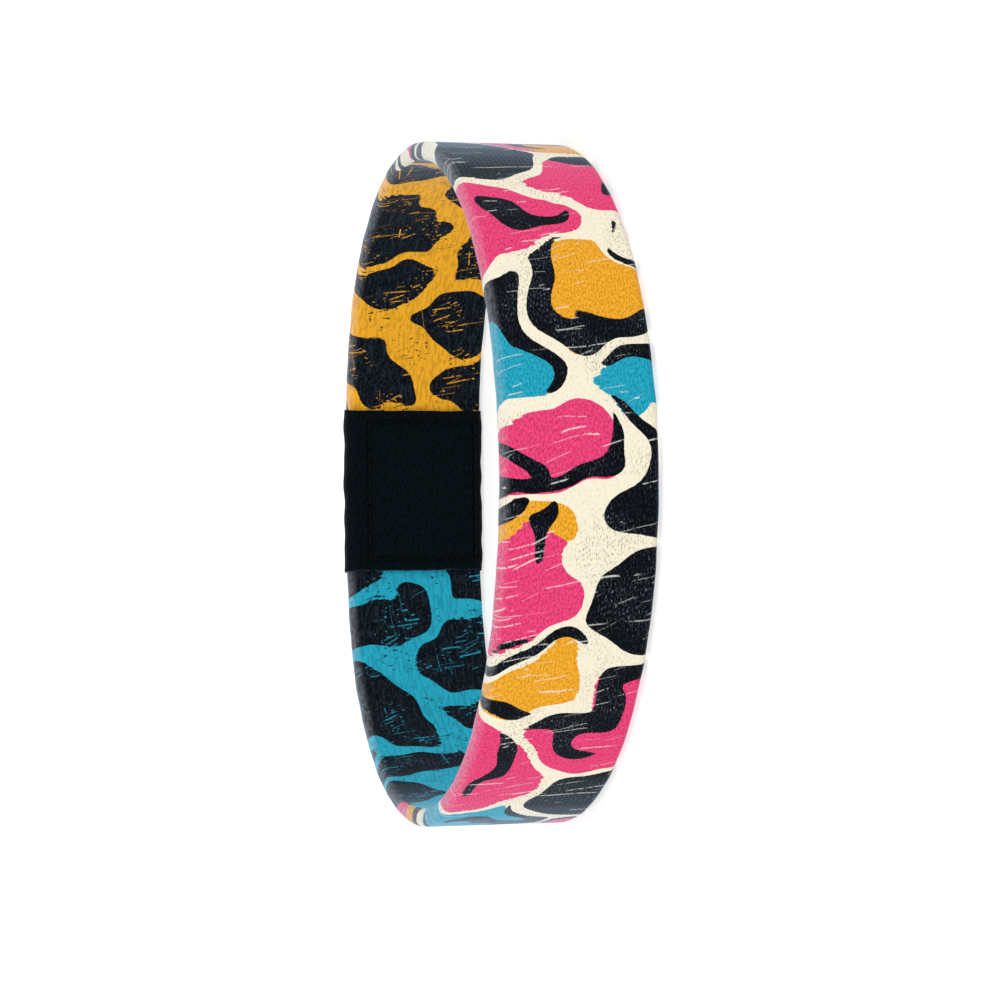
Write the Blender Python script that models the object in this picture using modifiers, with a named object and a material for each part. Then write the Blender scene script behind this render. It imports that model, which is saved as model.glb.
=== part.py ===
"""A woven elastic wristband: one strip of printed webbing bent into a loop, its two
ends held in a sewn fabric sleeve. Metres, +Z up. The loop lies on its side, with its
axis along Z, the seam at +Y, and the origin under the middle of its box."""

import math

import bmesh
import bpy
import numpy as np

# The webbing
BAND_WIDTH = 0.0150
BAND_THICKNESS = 0.0019
RIM_ROUNDING = 0.00072
LOOP_DIAMETER = 0.0687
SEAM_FLAT_SPREAD = math.radians(31.9)

# The sleeve over the seam, sewn from doubled cloth
SLEEVE_LENGTH = 0.0178
SLEEVE_WALL = 0.0010
SLEEVE_CORNER = 0.0012
SLEEVE_MOUTH_ROUNDING = 0.0002

# The ends of the webbing, squeezed and tucked in under the sleeve's stitching
SQUEEZED_THICKNESS = 0.0008
RIM_TUCK = 0.00095
SHOULDER_LENGTH = 0.0006
END_GAP = 0.0006

# Room between the webbing and the sleeve, on each face
CLOTH_GAP = 0.0002

# The pieces' plain colours
WEBBING_COLOUR = (0.93, 0.88, 0.72)
SLEEVE_COLOUR = (0.006, 0.008, 0.011)
WEBBING_ROUGHNESS = 0.85
SLEEVE_ROUGHNESS = 0.75

# How finely the surfaces are cut
LOOP_STEPS = 112
SHOULDER_STEPS = 4
SLEEVE_STEPS = 12
CORNER_STEPS = 3
MOUTH_STEPS = 2
PATH_SAMPLES = 7200
SHARP_ANGLE = math.radians(40)
MOUTH_ANGLE = math.radians(50)

# The most of a section's thickness that a rounded corner may take
MOST_ROUNDING = 0.499

# Worked out from the sizes above
SLEEVE_THICKNESS = SQUEEZED_THICKNESS + 2 * (CLOTH_GAP + SLEEVE_WALL)
SLEEVE_WIDTH = BAND_WIDTH + 2 * (CLOTH_GAP + SLEEVE_WALL - RIM_TUCK)
MID_RADIUS = (LOOP_DIAMETER - BAND_THICKNESS) / 2
MID_HEIGHT = max(BAND_WIDTH, SLEEVE_WIDTH) / 2


class LoopPath:
    """The middle line of the webbing, seen from above: a circle that the stiff seam
    draws flat. Its radius is R (1 - s exp(-(angle / spread)^2)), the angle counted
    from the seam, with s chosen so that the line is straight at the seam itself."""

    def __init__(self, radius, spread, samples):
        bend = spread**2 / 2
        self.flattening = bend / (1 + bend)
        self.angles = np.linspace(0, 2 * math.pi, samples + 1)
        from_seam = np.minimum(self.angles, 2 * math.pi - self.angles)
        radii = radius * (1 - self.flattening * np.exp(-((from_seam / spread) ** 2)))
        self.points = np.stack([-radii * np.sin(self.angles), radii * np.cos(self.angles)], axis=1)
        runs = np.hypot(*np.diff(self.points, axis=0).T)
        self.lengths = np.concatenate([[0], np.cumsum(runs)])
        self.length = self.lengths[-1]

    def at(self, length):
        """The point at this length from the seam, and the outward direction there."""
        step = self.length / len(self.lengths)
        before, here, after = (self._point(length + shift) for shift in (-step, 0, step))
        along = (after - before) / np.linalg.norm(after - before)
        return here, np.array([along[1], -along[0]])

    def _point(self, length):
        within = length % self.length
        return np.array([np.interp(within, self.lengths, self.points[:, axis]) for axis in (0, 1)])


def rounded_rectangle(thickness, width, corner):
    """Points round a section as (outward, upward) pairs, counted from the top outer
    corner, with each corner an arc."""
    corner = min(corner, MOST_ROUNDING * min(thickness, width))
    points = []
    for out_side, up_side, first in ((1, 1, 0), (-1, 1, 90), (-1, -1, 180), (1, -1, 270)):
        for step in range(CORNER_STEPS + 1):
            turn = math.radians(first + 90 * step / CORNER_STEPS)
            out = out_side * (thickness / 2 - corner) + corner * math.cos(turn)
            up = up_side * (width / 2 - corner) + corner * math.sin(turn)
            points.append((out, up))
    return points


def ring_on_path(path, length, section, offset):
    """The section's points, carried to this length along the path."""
    centre, outward = path.at(length)
    ring = []
    for out, up in section:
        x, y = centre + outward * out
        ring.append((x, y + offset, MID_HEIGHT + up))
    return ring


def skin(rings, capped):
    """A bmesh lofted through the rings, whose sections may differ, with its ends closed
    if asked."""
    bm = bmesh.new()
    rows = [[bm.verts.new(point) for point in ring] for ring in rings]
    count = len(rows[0])
    for row, following in zip(rows, rows[1:]):
        for i in range(count):
            j = (i + 1) % count
            bm.faces.new((row[i], row[j], following[j], following[i]))
    if capped:
        bm.faces.new(rows[0])
        bm.faces.new(reversed(rows[-1]))
    bmesh.ops.recalc_face_normals(bm, faces=bm.faces)
    return bm


def webbing_stations():
    """Rows along the strip from one end to the other: its length from the seam, and
    how much of its full section it has there, from 0 where squeezed to 1."""
    half_sleeve = SLEEVE_LENGTH / 2
    shoulder = half_sleeve + CLOTH_GAP
    open_start = shoulder + SHOULDER_LENGTH
    first_end = [(END_GAP / 2, 0.0), (half_sleeve / 2, 0.0)]
    for step in range(SHOULDER_STEPS):
        share = step / SHOULDER_STEPS
        first_end.append((shoulder + share * SHOULDER_LENGTH, smooth(share)))
    whole = PATH.length
    open_run = np.linspace(open_start, whole - open_start, LOOP_STEPS + 1)
    second_end = [(whole - length, share) for length, share in reversed(first_end)]
    return first_end + [(length, 1.0) for length in open_run] + second_end


def smooth(share):
    """An S-shaped rise from 0 to 1."""
    return share * share * (3 - 2 * share)


def webbing_section(fullness):
    """The webbing's section, between squeezed at 0 and full at 1."""
    squeezed_width = BAND_WIDTH - 2 * RIM_TUCK
    thickness = SQUEEZED_THICKNESS + fullness * (BAND_THICKNESS - SQUEEZED_THICKNESS)
    width = squeezed_width + fullness * (BAND_WIDTH - squeezed_width)
    return rounded_rectangle(thickness, width, RIM_ROUNDING)


def centring_offset():
    """How far the loop moves along Y so that its box is centred on the origin."""
    far_side = PATH.points[0, 1] + max(SLEEVE_THICKNESS, BAND_THICKNESS) / 2
    near_side = PATH.points[:, 1].min() - BAND_THICKNESS / 2
    return -(far_side + near_side) / 2


def webbing():
    """The printed strip, one piece from end to end."""
    offset = centring_offset()
    rings = [
        ring_on_path(PATH, length, webbing_section(fullness), offset)
        for length, fullness in webbing_stations()
    ]
    return object_from(skin(rings, capped=True), "elastic_band")


def sleeve():
    """The cloth tube round the seam: its outer skin, given a wall inwards."""
    section = rounded_rectangle(SLEEVE_THICKNESS, SLEEVE_WIDTH, SLEEVE_CORNER)
    offset = centring_offset()
    rings = [
        ring_on_path(PATH, length, section, offset)
        for length in np.linspace(-SLEEVE_LENGTH / 2, SLEEVE_LENGTH / 2, SLEEVE_STEPS + 1)
    ]
    tube = object_from(skin(rings, capped=False), "seam_sleeve")
    wall = tube.modifiers.new("wall", "SOLIDIFY")
    wall.thickness = SLEEVE_WALL
    wall.offset = -1
    wall.use_even_offset = True
    wall.use_quality_normals = True
    mouth = tube.modifiers.new("mouth", "BEVEL")
    mouth.width = SLEEVE_MOUTH_ROUNDING
    mouth.segments = MOUTH_STEPS
    mouth.limit_method = "ANGLE"
    mouth.angle_limit = MOUTH_ANGLE
    return tube


def object_from(bm, name):
    """An object in the wristband's collection, holding this bmesh, shaded smooth."""
    mesh = bpy.data.meshes.new(name)
    bm.to_mesh(mesh)
    bm.free()
    mesh.shade_smooth()
    mesh.set_sharp_from_angle(angle=SHARP_ANGLE)
    made = bpy.data.objects.new(name, mesh)
    COLLECTION.objects.link(made)
    return made


def finish(piece, colour, roughness):
    """A plain cloth material of this colour."""
    material = bpy.data.materials.new(piece.name)
    material.use_nodes = True
    shader = material.node_tree.nodes["Principled BSDF"]
    shader.inputs["Base Color"].default_value = (*colour, 1.0)
    shader.inputs["Roughness"].default_value = roughness
    shader.inputs["Metallic"].default_value = 0.0
    piece.data.materials.append(material)


def empty_scene():
    """Takes the startup objects out."""
    for old in list(bpy.data.objects):
        bpy.data.objects.remove(old)


empty_scene()
COLLECTION = bpy.data.collections.new("printed_wristband")
bpy.context.scene.collection.children.link(COLLECTION)
PATH = LoopPath(MID_RADIUS, SEAM_FLAT_SPREAD, PATH_SAMPLES)
finish(webbing(), WEBBING_COLOUR, WEBBING_ROUGHNESS)
finish(sleeve(), SLEEVE_COLOUR, SLEEVE_ROUGHNESS)
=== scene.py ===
"""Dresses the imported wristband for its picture: the knitted elastic with its printed
spots, the cloth sleeve that is sewn over the seam, and a plain studio round them.

The loop lies on its side, with its axis along +Z and the seam at +Y. Lengths are in
metres, except where a name ends in _mm."""

import logging
import math
from dataclasses import dataclass, field
from enum import Enum

import bpy
import numpy as np
from mathutils import Matrix, Vector


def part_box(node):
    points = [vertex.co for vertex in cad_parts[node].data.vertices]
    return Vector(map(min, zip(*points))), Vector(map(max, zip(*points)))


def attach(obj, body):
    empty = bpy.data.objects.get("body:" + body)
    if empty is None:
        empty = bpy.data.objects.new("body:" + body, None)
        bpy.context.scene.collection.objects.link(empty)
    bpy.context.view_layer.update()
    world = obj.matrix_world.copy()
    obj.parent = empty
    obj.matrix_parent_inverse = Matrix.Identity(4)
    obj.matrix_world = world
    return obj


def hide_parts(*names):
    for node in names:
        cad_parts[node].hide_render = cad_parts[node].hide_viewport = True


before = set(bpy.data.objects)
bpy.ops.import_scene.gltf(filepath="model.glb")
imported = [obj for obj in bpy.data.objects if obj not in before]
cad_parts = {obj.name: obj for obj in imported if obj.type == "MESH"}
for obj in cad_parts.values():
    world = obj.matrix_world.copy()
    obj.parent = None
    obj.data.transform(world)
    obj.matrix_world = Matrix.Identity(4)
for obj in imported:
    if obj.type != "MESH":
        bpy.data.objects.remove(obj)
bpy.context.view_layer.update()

LOG = logging.getLogger("wristband")

MM = 0.001
FULL_TURN = 2 * math.pi
UV_MAP = "weave"

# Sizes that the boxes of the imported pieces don't give
BAND_THICKNESS = 0.0019
BAND_RIM_ROUNDING = 0.00072
SLEEVE_THICKNESS = 0.0032
SLEEVE_CORNER = 0.0012
SLEEVE_LENGTH = 0.0178
SEAM_FLAT_SPREAD = math.radians(31.9)

# How far the sleeve's inner face stays off the webbing
CLOTH_CLEARANCE = 0.00004

# How far apart the patches lie that two noises of a finish are read from
SALT_STEP = (37.3, 11.9)

# A distance for places that a shape doesn't reach, in millimetres
FAR_MM = 9.0

# Spots nearer than this are the same spot, in millimetres
SAME_SPOT_MM = 1e-6

Colour = tuple[float, float, float]


def screen_colour(red: float, green: float, blue: float) -> Colour:
    """The linear colour that a screen shows as these values.

    Each value, as a share of 255, is divided by 12.92 where it is small, and elsewhere
    raised by 0.055, divided by 1.055 and taken to the power 2.4.

    Args:
        red: Red, from 0 to 255.
        green: Green, from 0 to 255.
        blue: Blue, from 0 to 255.

    Returns:
        The linear colour.
    """
    shares = (value / 255 for value in (red, green, blue))
    return tuple(s / 12.92 if s <= 0.04045 else ((s + 0.055) / 1.055) ** 2.4 for s in shares)


def between(first: Colour, second: Colour, share: float) -> Colour:
    """The colour this share of the way from the first to the second."""
    return tuple(a + (b - a) * share for a, b in zip(first, second))


# Shader graphs


class Signal:
    """A number, colour or vector on its way between shader nodes. Arithmetic on signals
    that are numbers adds Math nodes."""

    def __init__(self, graph: "Graph", socket: bpy.types.NodeSocket) -> None:
        """Holds the output that the value comes from."""
        self.graph = graph
        self.socket = socket

    def __add__(self, other: "Signal | float") -> "Signal":
        """This and the other, added."""
        return self.graph.math("ADD", self, other)

    __radd__ = __add__

    def __sub__(self, other: "Signal | float") -> "Signal":
        """This less the other."""
        return self.graph.math("SUBTRACT", self, other)

    def __rsub__(self, other: float) -> "Signal":
        """The other less this."""
        return self.graph.math("SUBTRACT", other, self)

    def __mul__(self, other: "Signal | float") -> "Signal":
        """This times the other."""
        return self.graph.math("MULTIPLY", self, other)

    __rmul__ = __mul__

    def __truediv__(self, other: "Signal | float") -> "Signal":
        """This divided by the other."""
        return self.graph.math("DIVIDE", self, other)

    def __rtruediv__(self, other: float) -> "Signal":
        """The other divided by this."""
        return self.graph.math("DIVIDE", other, self)

    def __neg__(self) -> "Signal":
        """This with its sign changed."""
        return self.graph.math("MULTIPLY", self, -1.0)

    def __abs__(self) -> "Signal":
        """This without its sign."""
        return self.graph.math("ABSOLUTE", self)

    def floor(self) -> "Signal":
        """The whole number at or below this."""
        return self.graph.math("FLOOR", self)

    def sine(self) -> "Signal":
        """The sine of this angle."""
        return self.graph.math("SINE", self)

    def root(self) -> "Signal":
        """The square root of this."""
        return self.graph.math("SQRT", self)

    def most(self, other: "Signal | float") -> "Signal":
        """The greater of this and the other."""
        return self.graph.math("MAXIMUM", self, other)

    def rise(self, low: float, high: float) -> "Signal":
        """0 below low, 1 above high, and an S-shaped rise between them.

        Args:
            low: Where the rise starts.
            high: Where it ends.

        Returns:
            The risen number.
        """
        made = self.graph.node(
            "ShaderNodeMapRange",
            {"interpolation_type": "SMOOTHSTEP"},
            {"Value": self, "From Min": low, "From Max": high},
        )
        return Signal(self.graph, made.outputs["Result"])

    def fall(self, low: float, high: float) -> "Signal":
        """1 below low, 0 above high, and an S-shaped fall between them."""
        return 1.0 - self.rise(low, high)


class Graph:
    """The nodes of one finish, with a short call for each kind that it uses."""

    def __init__(self, name: str) -> None:
        """Starts a material of this name with no nodes."""
        self.material = bpy.data.materials.new(name)
        self.material.use_nodes = True
        self.tree = self.material.node_tree
        self.tree.nodes.clear()

    def node(self, kind: str, settings: dict | None = None,
             inputs: dict | None = None) -> bpy.types.Node:
        """Adds a node.

        Args:
            kind: The node's type.
            settings: Its properties, which are set first.
            inputs: Its sockets by name or number, each with a signal or a value.

        Returns:
            The node.
        """
        made = self.tree.nodes.new(kind)
        for name, value in (settings or {}).items():
            setattr(made, name, value)
        for key, value in (inputs or {}).items():
            if isinstance(value, Signal):
                self.tree.links.new(value.socket, made.inputs[key])
            else:
                made.inputs[key].default_value = value
        return made

    def math(self, operation: str, first: Signal | float, second: Signal | float = 0.0) -> Signal:
        """The result of one Math node."""
        made = self.node("ShaderNodeMath", {"operation": operation}, {0: first, 1: second})
        return Signal(self, made.outputs[0])

    def mix(self, share: Signal | float, first: Signal | Colour, second: Signal | Colour) -> Signal:
        """A colour between two others.

        Args:
            share: How much of the second colour there is, from 0 to 1.
            first: The colour at 0.
            second: The colour at 1.

        Returns:
            The mixed colour.
        """
        ends = [c if isinstance(c, Signal) else (*c, 1.0) for c in (first, second)]
        made = self.node("ShaderNodeMix", {"data_type": "RGBA"}, {0: share, 6: ends[0], 7: ends[1]})
        return Signal(self, made.outputs[2])

    def vector(self, x: Signal | float, y: Signal | float, z: Signal | float = 0.0) -> Signal:
        """A vector of three numbers."""
        made = self.node("ShaderNodeCombineXYZ", inputs={0: x, 1: y, 2: z})
        return Signal(self, made.outputs[0])

    def parts(self, vector: Signal) -> tuple[Signal, Signal, Signal]:
        """The three numbers of a vector."""
        made = self.node("ShaderNodeSeparateXYZ", inputs={0: vector})
        return tuple(Signal(self, output) for output in made.outputs)

    def millimetres(self) -> tuple[Signal, Signal]:
        """The places along and around the strip, in millimetres, from its own UV map."""
        place = Signal(self, self.node("ShaderNodeUVMap", {"uv_map": UV_MAP}).outputs[0])
        scaled = self.node("ShaderNodeVectorMath", {"operation": "SCALE"}, {0: place, "Scale": 1 / MM})
        along, around, _ = self.parts(Signal(self, scaled.outputs[0]))
        return along, around

    def attribute(self, name: str) -> Signal:
        """A number that the mesh holds at each vertex."""
        made = self.node("ShaderNodeAttribute", {"attribute_name": name})
        return Signal(self, made.outputs["Fac"])

    def noise(self, x: Signal, y: Signal, salt: float, detail: float = 0.0) -> Signal:
        """Soft noise about 0.5, with features about 1 across in x and y.

        Args:
            x: The place along one way.
            y: The place along the other.
            salt: Sets this noise apart from the others.
            detail: How many finer layers it has.

        Returns:
            The noise.
        """
        place = self.vector(x + salt * SALT_STEP[0], y - salt * SALT_STEP[1])
        made = self.node(
            "ShaderNodeTexNoise",
            {"noise_dimensions": "2D"},
            {"Vector": place, "Scale": 1.0, "Detail": detail},
        )
        return Signal(self, made.outputs[0])

    def chances(self, x: Signal, y: Signal | float, salt: float) -> tuple[Signal, Signal, Signal]:
        """Three numbers from 0 to 1 that differ at random between whole places."""
        made = self.node("ShaderNodeTexWhiteNoise", inputs={"Vector": self.vector(x, y, salt)})
        return self.parts(Signal(self, made.outputs["Color"]))

    def surface(self, colour: Signal | Colour, roughness: Signal | float, height: Signal, relief: float,
                constants: dict) -> bpy.types.Material:
        """Finishes the graph as one Principled surface with a bumped normal.

        Args:
            colour: The base colour.
            roughness: The roughness.
            height: The bump's height, from 0 to 1.
            relief: How deep a height of 1 is, in metres.
            constants: Socket names with values that are the same all over.

        Returns:
            The material.
        """
        bump = self.node("ShaderNodeBump", inputs={"Strength": 1.0, "Distance": relief, "Height": height})
        base = colour if isinstance(colour, Signal) else (*colour, 1.0)
        normal = Signal(self, bump.outputs[0])
        inputs = {"Base Color": base, "Roughness": roughness, "Normal": normal, **constants}
        principled = self.node("ShaderNodeBsdfPrincipled", inputs=inputs)
        shader = Signal(self, principled.outputs[0])
        self.node("ShaderNodeOutputMaterial", inputs={"Surface": shader})
        return self.material


# Meshes from grids


@dataclass(frozen=True)
class Grid:
    """The faces of a grid of points, either of whose ways may close on itself."""

    rows: int
    columns: int
    rows_close: bool
    columns_close: bool

    def faces(self) -> tuple[np.ndarray, np.ndarray]:
        """The corners of each face.

        Returns:
            The corners' vertex numbers, and their numbers in a grid that has one more
            row or column where it closes, for the UV map.
        """
        tall = self.rows + self.rows_close
        wide = self.columns + self.columns_close
        row, column = np.meshgrid(np.arange(tall - 1), np.arange(wide - 1), indexing="ij")
        corner_rows = np.stack([row, row + 1, row + 1, row], axis=-1).reshape(-1, 4)
        corner_columns = np.stack([column, column, column + 1, column + 1], axis=-1).reshape(-1, 4)
        vertices = (corner_rows % self.rows) * self.columns + corner_columns % self.columns
        return vertices, corner_rows * wide + corner_columns


def volume_of(points: np.ndarray, faces: np.ndarray) -> float:
    """The volume that the faces enclose: a sixth of the sum, over two triangles a face,
    of the first corner's product with the cross product of the other two.

    Args:
        points: The points.
        faces: The numbers of each face's four corners.

    Returns:
        The volume, negative where the faces look inwards.
    """
    total = 0.0
    for i, j, k in ((0, 1, 2), (0, 2, 3)):
        a, b, c = (points[faces[:, n]] for n in (i, j, k))
        total += np.einsum("ij,ij->", a, np.cross(b, c))
    return total / 6


def mesh_piece(name: str, points: np.ndarray, grid: Grid, uv: np.ndarray, capped: bool = False,
               values: dict[str, np.ndarray] | None = None) -> bpy.types.Object:
    """Makes one closed piece from a grid of points.

    Args:
        name: The piece's name.
        points: The points, as rows by columns by three.
        grid: How the points join.
        uv: The UV places, with one more row or column where the grid closes.
        capped: True if a flat face closes each end.
        values: Numbers for the mesh to hold at its vertices, by name.

    Returns:
        The piece, with its place in its mesh.
    """
    flat = points.reshape(-1, 3)
    faces, corners = grid.faces()
    outwards = volume_of(flat, faces) > 0
    if not outwards:
        faces, corners = faces[:, ::-1], corners[:, ::-1]
    caps = []
    if capped:
        first = list(range(grid.columns))
        last = [(grid.rows - 1) * grid.columns + n for n in first]
        caps = [first, last[::-1]] if outwards else [first[::-1], last]
    mesh = bpy.data.meshes.new(name)
    mesh.from_pydata(flat.tolist(), [], faces.tolist() + caps)
    places = uv.reshape(-1, 2)[corners.ravel()]
    at_caps = np.zeros((sum(len(cap) for cap in caps), 2))
    layer = mesh.uv_layers.new(name=UV_MAP)
    layer.data.foreach_set("uv", np.concatenate([places, at_caps]).astype(np.float32).ravel())
    for key, numbers in (values or {}).items():
        held = mesh.attributes.new(key, "FLOAT", "POINT")
        held.data.foreach_set("value", numbers.astype(np.float32).ravel())
    mesh.shade_smooth()
    made = bpy.data.objects.new(name, mesh)
    bpy.context.scene.collection.objects.link(made)
    LOG.info("%s: %d vertices, %d faces", name, len(mesh.vertices), len(mesh.polygons))
    return made


def weave_places(rows: np.ndarray, columns: np.ndarray) -> np.ndarray:
    """The UV places of a grid, whose rows and columns lie at these lengths."""
    return np.stack(np.broadcast_arrays(rows[:, None], columns[None, :]), axis=-1)


def joined(name: str, pieces: list[bpy.types.Object]) -> bpy.types.Object:
    """Makes several pieces into one.

    Args:
        name: The new piece's name.
        pieces: The pieces, of which the first takes in the rest.

    Returns:
        The new piece.
    """
    with bpy.context.temp_override(active_object=pieces[0], selected_editable_objects=pieces):
        bpy.ops.object.join()
    pieces[0].name = name
    return pieces[0]


# The loop's form


@dataclass
class LoopPath:
    """The middle line of the webbing, seen from above: a circle that the stiff seam
    draws flat. Its radius is R (1 - s exp(-(angle / spread)^2)), the angle counted from
    the seam, with s chosen so that the line is straight at the seam itself."""

    radius: float
    near_side: float
    spread: float = SEAM_FLAT_SPREAD
    samples: int = 7200
    samples_each_way: int = 8
    length: float = field(init=False)

    def __post_init__(self) -> None:
        """Works the line out once, as points and the lengths up to them."""
        bend = self.spread**2 / 2
        flattening = bend / (1 + bend)
        self.angles = np.linspace(0, FULL_TURN, self.samples + 1)
        from_seam = np.minimum(self.angles, FULL_TURN - self.angles)
        radii = self.radius * (1 - flattening * np.exp(-((from_seam / self.spread) ** 2)))
        line = np.stack([-radii * np.sin(self.angles), radii * np.cos(self.angles)], axis=1)
        line[:, 1] += self.near_side - line[:, 1].min()
        self.points = line
        runs = np.hypot(*np.diff(line, axis=0).T)
        self.lengths = np.concatenate([[0], np.cumsum(runs)])
        self.length = float(self.lengths[-1])

    def _points(self, lengths: np.ndarray) -> np.ndarray:
        """The points at these lengths from the seam."""
        within = lengths % self.length
        return np.stack([np.interp(within, self.lengths, self.points[:, n]) for n in (0, 1)], axis=-1)

    def at(self, lengths: np.ndarray) -> tuple[np.ndarray, np.ndarray]:
        """Points on the line and the outward directions there.

        Args:
            lengths: Lengths from the seam, in metres.

        Returns:
            The points and the directions, each with two numbers, x and y.
        """
        step = self.samples_each_way * self.length / self.samples
        along = self._points(lengths + step) - self._points(lengths - step)
        along /= np.linalg.norm(along, axis=-1, keepdims=True)
        return self._points(lengths), np.stack([along[..., 1], -along[..., 0]], axis=-1)

    def carry(self, lengths: np.ndarray, out: np.ndarray, up: np.ndarray) -> np.ndarray:
        """Points that stand off the line: each is the line's own point, moved along the
        outward direction there and put at its height.

        Args:
            lengths: Lengths from the seam, as rows by one or by columns.
            out: How far outwards each point is, as rows by columns.
            up: The height of each point, as rows by columns.

        Returns:
            The points, as rows by columns by three.
        """
        points, outward = self.at(lengths)
        flat = points + outward * out[..., None]
        return np.concatenate([flat, up[..., None]], axis=-1)

    def turned(self, lengths: np.ndarray) -> np.ndarray:
        """How far round from the seam these lengths are, either way, in radians."""
        angles = np.interp(lengths % self.length, self.lengths, self.angles)
        return np.minimum(angles, FULL_TURN - angles)


@dataclass
class Section:
    """A rounded rectangle cut across a strip, walked from the middle of its lower rim
    over the outer face, the upper rim and the inner face. The walk is a point on a smaller
    rectangle plus the corner's radius along the way that the surface faces. Places are
    counted from the middle of the outer face, so the first ones are negative.

    Each count of steps is for one face or corner, and that of the rim for half a rim."""

    thickness: float
    width: float
    corner: float
    face_steps: int
    inner_steps: int
    corner_steps: int
    rim_steps: int

    def __post_init__(self) -> None:
        """Works out the places round the section and which way each faces."""
        half_face = self.width / 2 - self.corner
        half_rim = self.thickness / 2 - self.corner
        arc = self.corner * math.pi / 2
        runs = (half_rim, arc, 2 * half_face, arc, 2 * half_rim, arc, 2 * half_face, arc, half_rim)
        steps = (self.rim_steps, self.corner_steps, self.face_steps, self.corner_steps, 2 * self.rim_steps,
                 self.corner_steps, self.inner_steps, self.corner_steps, self.rim_steps)
        ends = np.concatenate([[0], np.cumsum(runs)])
        self.perimeter = float(ends[-1])
        stretches = [np.linspace(a, b, n, endpoint=False) for a, b, n in zip(ends, ends[1:], steps)]
        walked = np.concatenate(stretches)
        turns = np.radians([-90, -90, 0, 0, 90, 90, 180, 180, 270, 270])
        outs = half_rim * np.array([0, 1, 1, 1, 1, -1, -1, -1, -1, 0])
        ups = half_face * np.array([-1, -1, -1, 1, 1, 1, 1, -1, -1, -1])
        facing = np.interp(walked, ends, turns)
        self.facing_out = np.cos(facing)
        self.facing_up = np.sin(facing)
        self.out = np.interp(walked, ends, outs) + self.corner * self.facing_out
        self.up = np.interp(walked, ends, ups) + self.corner * self.facing_up
        self.run = walked - self.perimeter / 4

    @property
    def count(self) -> int:
        """How many places the walk has."""
        return len(self.run)

    @property
    def places(self) -> np.ndarray:
        """The places with the first one again at the end, one perimeter on."""
        return np.append(self.run, self.run[0] + self.perimeter)


@dataclass(frozen=True)
class SlowWaves:
    """Sine waves of about these lengths, each of which fits the loop a whole number of
    times, with phases drawn from the seed."""

    lengths_mm: tuple[float, ...]
    seed: int

    def height(self, along_mm: np.ndarray, loop_mm: float) -> np.ndarray:
        """The sum of the waves divided by their number.

        Args:
            along_mm: Places along the loop.
            loop_mm: The loop's length.

        Returns:
            The height at each place, from -1 to 1.
        """
        rng = np.random.default_rng(self.seed)
        total = np.zeros_like(along_mm)
        for length in self.lengths_mm:
            turns = round(loop_mm / length)
            total += np.sin(FULL_TURN * turns * along_mm / loop_mm + rng.uniform(0, FULL_TURN))
        return total / len(self.lengths_mm)


# The printed spots


class Dye(Enum):
    """The dyes of the outer print."""

    PINK = 0
    MUSTARD = 1
    BLUE = 2


class Motif(Enum):
    """How a spot is filled."""

    ROSETTE = 0  # a dark ring, thick on one side and open on the other, round a dyed eye
    CRESCENT = 1  # a dark crescent along one side of a dyed patch, with a dark bean on it
    PATCH = 2  # a dyed patch with a dark bean on it
    DUO = 3  # a patch of two dyes that meet, with a thin crescent and a bean
    BLOT = 4  # plain dark


@dataclass(frozen=True)
class Spot:
    """One spot of a print's repeat.

    Its place along the strip is a share of the repeat, and its place across is a share
    of half the strip's width. A spot with more pull, in millimetres, takes more room from
    its neighbours. Turn is the way that its thick side faces, in degrees."""

    along: float
    across: float
    pull_mm: float
    motif: Motif = Motif.BLOT
    dye: Dye = Dye.PINK
    turn: float = 0.0


OUTER_SPOTS = (
    Spot(0.015, -0.55, 2.4, Motif.CRESCENT, Dye.PINK, 150),
    Spot(0.06, 0.72, 1.8, Motif.ROSETTE, Dye.BLUE, 75),
    Spot(0.125, -0.85, 1.2, Motif.ROSETTE, Dye.BLUE, 20),
    Spot(0.175, 0.30, 3.4, Motif.ROSETTE, Dye.MUSTARD, 195),
    Spot(0.265, -0.62, 2.6, Motif.PATCH, Dye.PINK, -60),
    Spot(0.315, 0.74, 2.0, Motif.CRESCENT, Dye.PINK, 80),
    Spot(0.375, -0.45, 1.8, Motif.BLOT),
    Spot(0.43, 0.55, 2.6, Motif.DUO, Dye.PINK, 15),
    Spot(0.495, -0.62, 2.6, Motif.ROSETTE, Dye.PINK, 215),
    Spot(0.575, 0.42, 2.8, Motif.CRESCENT, Dye.BLUE, 215),
    Spot(0.635, -0.80, 1.6, Motif.BLOT),
    Spot(0.69, 0.66, 2.2, Motif.PATCH, Dye.PINK, 110),
    Spot(0.75, -0.45, 2.8, Motif.CRESCENT, Dye.PINK, -25),
    Spot(0.82, 0.60, 2.0, Motif.ROSETTE, Dye.MUSTARD, 120),
    Spot(0.87, -0.72, 1.8, Motif.BLOT),
    Spot(0.93, 0.42, 2.4, Motif.DUO, Dye.PINK, 60),
)


def inner_spots(rows: int = 2, per_row: int = 7) -> tuple[Spot, ...]:
    """The plain spots of the inner print: staggered rows, each place and pull shifted by
    a small remainder so that no two neighbours match.

    Args:
        rows: How many rows lie across the strip.
        per_row: How many spots each has in one repeat.

    Returns:
        The spots of one repeat.
    """
    made = []
    for column in range(per_row):
        for row in range(rows):
            shift = ((column * 7 + row * 3) % 5 - 2) * 0.075
            pull = 1.8 * ((column * 5 + row * 2) % 3 - 1)
            made.append(Spot((column + 0.5 * (row % 2) + shift) / per_row, row * 1.1 - 0.55, pull))
    return tuple(made)


def either(first: np.ndarray, second: np.ndarray, rounding: float) -> np.ndarray:
    """The distance from two shapes together, the corner between them filled: the
    logarithm of the sum of exp(-distance / rounding), times minus the rounding."""
    return -rounding * np.logaddexp(-first / rounding, -second / rounding)


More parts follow.
